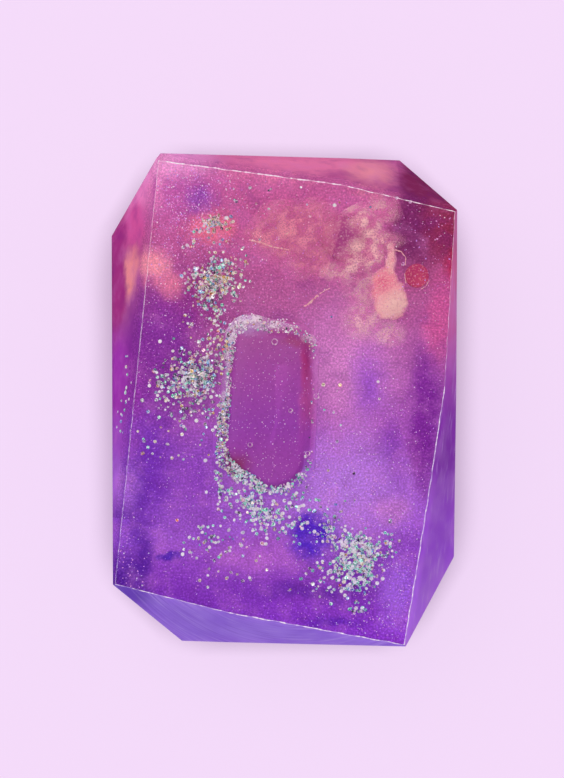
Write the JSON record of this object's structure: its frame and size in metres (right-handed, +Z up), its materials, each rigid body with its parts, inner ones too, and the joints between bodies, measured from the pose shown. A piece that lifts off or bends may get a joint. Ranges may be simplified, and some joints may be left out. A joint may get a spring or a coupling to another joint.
{
  "type": "gem-cut glycerine soap bar",
  "caption": "Clear soap bar cut with facets like a gem, over a tinted core of rose, crimson, violet and indigo pours, with a sealed insert, mica films and drifts of glitter.",
  "frame": {"origin": "centre of the bar's bounding box on the back face that it rests on", "axes": "+Z up, out of the large table face; +Y towards the rose end; +X towards the crimson corner"},
  "size_m": [0.057, 0.0806, 0.028],
  "materials": {
    "clear_soap": "clear, slightly tinted, glossy knife-cut faces",
    "rose_soap": "translucent rose soap with fine mica shimmer",
    "crimson_soap": "translucent crimson to plum soap",
    "violet_soap": "translucent violet soap with fine mica shimmer",
    "indigo_soap": "translucent indigo-violet soap",
    "insert_soap": "smooth plum-violet soap",
    "silver_glitter": "holographic silver glitter",
    "coral_soap": "peach-coral mica soap",
    "deep_violet_soap": "dark violet soap",
    "blue_violet_soap": "blue-violet soap",
    "indigo_chip_soap": "dark indigo soap",
    "plum_soap": "plum soap",
    "coral_mica_soap": "coral to peach mica soap",
    "red_soap": "translucent red soap",
    "peach_mica": "shimmering peach mica",
    "gold_mica": "shimmering gold-peach mica",
    "pale_mica": "pale shimmering mica",
    "gold_glitter": "gold-toned holographic glitter"
  },
  "bodies": {
    "root": {"clear_overpour": "clear_soap", "rose_pour": "rose_soap", "crimson_pour": "crimson_soap", "violet_pour": "violet_soap", "indigo_pour": "indigo_soap", "insert_bar": "insert_soap", "glitter_collar": "silver_glitter", "coral_chunk": "coral_soap", "deep_violet_chunk": "deep_violet_soap", "blue_violet_chunk": "blue_violet_soap", "indigo_chip": "indigo_chip_soap", "plum_disc": "plum_soap", "coral_teardrop": "coral_mica_soap", "red_button": "red_soap", "peach_film_left": "peach_mica", "peach_film_right": "gold_mica", "peach_crease": "pale_mica", "glitter_drift_gold": "gold_glitter", "glitter_drift_upper": "silver_glitter", "glitter_drift_left": "silver_glitter", "glitter_drift_foot": "silver_glitter", "glitter_drift_right": "silver_glitter", "loose_flakes_left": "silver_glitter", "loose_flakes_foot": "silver_glitter", "loose_flakes_top": "silver_glitter"}
  },
  "joints": []
}
